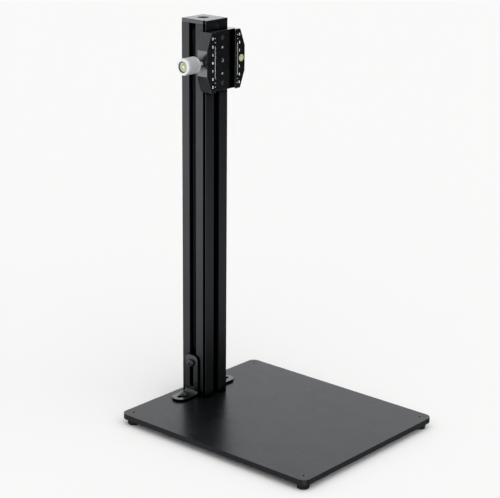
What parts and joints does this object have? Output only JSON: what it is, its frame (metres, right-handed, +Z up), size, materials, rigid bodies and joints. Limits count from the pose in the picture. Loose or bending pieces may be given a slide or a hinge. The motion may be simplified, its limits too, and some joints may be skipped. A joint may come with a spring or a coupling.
{
  "type": "copy stand",
  "caption": "Copy stand: a flat base on rubber feet, a slotted upright column, and a double-sided screw clamp that slides on it and holds a camera plate.",
  "frame": {"origin": "under the middle of the base, on the surface that the feet stand on", "axes": "+Z up the column, front towards -Y (the column is at +Y), the clamp's knob points to -X"},
  "size_m": [0.26, 0.305, 0.5118],
  "materials": {
    "black_anodised": "fine satin black anodising",
    "black_bracket": "satin black coating",
    "rubber": "matt black",
    "brass": "turned",
    "black_steel": "black oxide",
    "plain_steel": "bright zinc",
    "knob_aluminium": "clear anodised, knurled",
    "level_liquid": "clear vial with yellow-green liquid"
  },
  "bodies": {
    "root": {"base_plate": "black_anodised", "column": "black_anodised", "top_cap": "black_anodised", "stop_block": "black_anodised", "bracket_left": "black_bracket", "bracket_right": "black_bracket", "foot_front_left": "rubber", "foot_back_left": "rubber", "foot_front_right": "rubber", "foot_back_right": "rubber", "foot_insert_front_left": "brass", "foot_insert_back_left": "brass", "foot_insert_front_right": "brass", "foot_insert_back_right": "brass", "foot_screw_front_left": "black_steel", "foot_screw_back_left": "black_steel", "foot_screw_front_right": "black_steel", "foot_screw_back_right": "black_steel", "column_bolt_back_left": "black_steel", "column_bolt_front_left": "black_steel", "column_bolt_back_right": "black_steel", "column_bolt_front_right": "black_steel", "cap_screw": "black_steel", "stop_screw": "black_steel", "leg_screw_left": "black_steel", "leg_screw_right": "black_steel", "leg_washer_left": "black_steel", "leg_washer_right": "black_steel", "bracket_screw_left": "black_steel", "bracket_screw_right": "black_steel", "bracket_washer_left": "black_steel", "bracket_washer_right": "black_steel", "stop_nut": "plain_steel", "slot_nut_left": "plain_steel", "slot_nut_right": "plain_steel"},
    "carriage": {"clamp_body": "black_anodised", "jaw_level": "level_liquid", "guide_pin_upper": "plain_steel", "guide_pin_lower": "plain_steel", "floor_screw_upper": "plain_steel", "floor_screw_lower": "plain_steel"},
    "jaw": {"moving_jaw": "black_anodised"},
    "knob": {"knob": "knob_aluminium", "knob_level": "level_liquid", "clamp_screw": "plain_steel", "thrust_washer": "brass", "retaining_ring": "black_steel"}
  },
  "joints": [
    {"name": "carriage_slide", "type": "slide", "parent": "root", "child": "carriage", "axis": [0, 0, 1], "range_m": [-0.409, 0]},
    {"name": "jaw_slide", "type": "slide", "parent": "carriage", "child": "jaw", "axis": [-1, 0, 0], "range_m": [0, 0.006]},
    {"name": "knob_spin", "type": "hinge", "parent": "jaw", "child": "knob", "pos_m": [-0.05, 0.0994, 0.4619], "axis": [-1, 0, 0], "range_deg": [0, 2701]}
  ],
  "couplings": [
    {"joint": "knob_spin", "follows": "jaw_slide", "rad_per_m": 7854}
  ]
}
